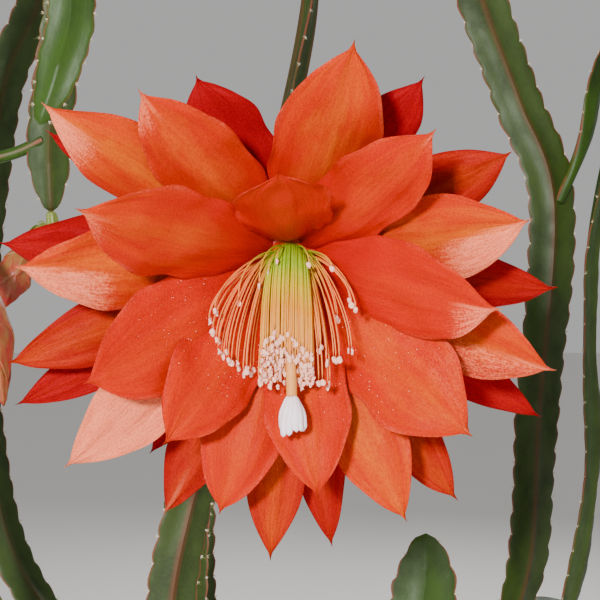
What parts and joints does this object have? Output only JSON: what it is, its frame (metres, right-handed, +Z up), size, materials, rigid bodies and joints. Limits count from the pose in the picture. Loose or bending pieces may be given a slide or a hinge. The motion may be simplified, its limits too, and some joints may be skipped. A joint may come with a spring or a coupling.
{
  "type": "potted epiphyllum",
  "caption": "Forest cactus with flat notched stems in a plain clay pot, bearing one large open red and orange flower that nods forward, and unopened buds.",
  "frame": {"origin": "middle of the pot's underside, on the pot's axis", "axes": "+Z up along the pot's axis, -Y towards the front, where the open flower faces, and +X to the right as seen from the front"},
  "size_m": [0.457, 0.3866, 0.5091],
  "materials": {
    "clay": "matte",
    "soil": "matte",
    "stem": "satin",
    "outer_tepal": "satin",
    "inner_tepal": "satin",
    "stamen": "satin",
    "style": "satin",
    "bud": "satin"
  },
  "bodies": {
    "root": {"pot": "clay", "soil": "soil", "stem_bearing_flower": "stem", "stem_hanging_left": "stem", "stem_arching_left": "stem", "stem_right": "stem", "stem_short": "stem", "stem_forked": "stem", "stem_back": "stem", "stem_low_left": "stem", "stem_back_right": "stem", "stem_low_right": "stem", "bloom_outer_tepals": "outer_tepal", "bloom_inner_tepals": "inner_tepal", "bloom_stamens": "stamen", "bloom_style": "style", "bud_front_left": "bud", "bud_behind_left": "bud"}
  },
  "joints": []
}
